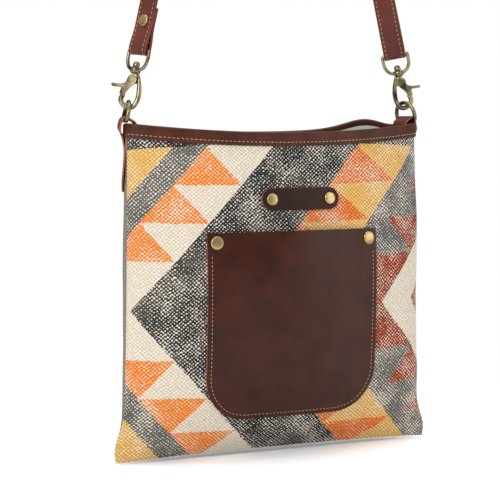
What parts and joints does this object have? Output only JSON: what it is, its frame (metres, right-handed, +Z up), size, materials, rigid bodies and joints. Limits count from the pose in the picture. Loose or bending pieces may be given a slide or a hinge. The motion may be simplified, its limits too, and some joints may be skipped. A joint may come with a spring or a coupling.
{
  "type": "canvas crossbody bag",
  "caption": "Flat printed-canvas crossbody bag with a riveted leather front pocket, side rings and a leather strap on swivel snap clasps.",
  "frame": {"origin": "underside of the strap's top, where a hand or a peg holds the bag", "axes": "+Z up, -Y out of the front, +X to the right seen from the front"},
  "size_m": [0.3224, 0.097, 0.7912],
  "materials": {
    "printed_canvas": "coarse woven cotton canvas, printed",
    "grey_canvas": "coarse woven cotton canvas, plain",
    "lining_cloth": "plain cotton",
    "rim_leather": "waxed, satin",
    "pocket_leather": "smooth, glossy",
    "strap_leather": "waxed, satin",
    "antique_brass": "antique, dark in the recesses",
    "spring_steel": "plain wire"
  },
  "bodies": {
    "strap": {"strap": "strap_leather", "strap_rivet_left": "antique_brass", "strap_rivet_right": "antique_brass"},
    "bag": {"front_panel": "printed_canvas", "back_panel": "grey_canvas", "lining": "lining_cloth", "front_binding": "rim_leather", "back_binding": "rim_leather", "pocket": "pocket_leather", "pocket_rivet_left": "antique_brass", "pocket_rivet_right": "antique_brass", "leather_strip": "pocket_leather", "strip_rivet_left": "antique_brass", "strip_rivet_right": "antique_brass", "side_tab_left": "strap_leather", "side_tab_right": "strap_leather"},
    "eye_left": {"swivel_eye_left": "antique_brass"},
    "hook_left": {"hook_left": "antique_brass", "trigger_pin_left": "antique_brass", "trigger_spring_left": "spring_steel"},
    "trigger_left": {"trigger_left": "antique_brass"},
    "ring_left": {"d_ring_left": "antique_brass"},
    "eye_right": {"swivel_eye_right": "antique_brass"},
    "hook_right": {"hook_right": "antique_brass", "trigger_pin_right": "antique_brass", "trigger_spring_right": "spring_steel"},
    "trigger_right": {"trigger_right": "antique_brass"},
    "ring_right": {"d_ring_right": "antique_brass"}
  },
  "joints": [
    {"name": "bag_swing", "type": "hinge", "parent": "strap", "child": "bag", "pos_m": [0, -0.00089, -0.47364], "axis": [1, 0, 0], "range_deg": [-25, 25]},
    {"name": "eye_rock_left", "type": "hinge", "parent": "strap", "child": "eye_left", "pos_m": [-0.13167, -0.00089, -0.42344], "axis": [0.3731, -0.9235, -0.0889], "range_deg": [-1, 1]},
    {"name": "hook_swivel_left", "type": "hinge", "parent": "eye_left", "child": "hook_left", "pos_m": [-0.14363, -0.00089, -0.47364], "axis": [0.2317, 0, 0.9728], "range_deg": [-18, 45]},
    {"name": "trigger_press_left", "type": "hinge", "parent": "hook_left", "child": "trigger_left", "pos_m": [-0.13867, -0.00038, -0.44912], "axis": [-0.4965, -0.8599, 0.1183], "range_deg": [0, 20], "stiffness_Nm_per_rad": 0.02, "springref_deg": -14.32},
    {"name": "ring_rock_left", "type": "hinge", "parent": "bag", "child": "ring_left", "pos_m": [-0.14578, 0, -0.48543], "axis": [0.2588, 0.9659, 0], "range_deg": [-3, 3]},
    {"name": "eye_rock_right", "type": "hinge", "parent": "strap", "child": "eye_right", "pos_m": [0.13167, -0.00089, -0.42344], "axis": [-0.7536, 0.6323, -0.1795], "range_deg": [-0.5, 0.5]},
    {"name": "hook_swivel_right", "type": "hinge", "parent": "eye_right", "child": "hook_right", "pos_m": [0.14363, -0.00089, -0.47364], "axis": [-0.2317, 0, 0.9728], "range_deg": [-3, 50]},
    {"name": "trigger_press_right", "type": "hinge", "parent": "hook_right", "child": "trigger_right", "pos_m": [0.13876, -0.0012, -0.4491], "axis": [0.3082, 0.9485, 0.0734], "range_deg": [0, 20], "stiffness_Nm_per_rad": 0.02, "springref_deg": -14.32},
    {"name": "ring_rock_right", "type": "hinge", "parent": "bag", "child": "ring_right", "pos_m": [0.14578, 0, -0.48543], "axis": [0.2588, -0.9659, 0], "range_deg": [-1.5, 1.5]}
  ]
}
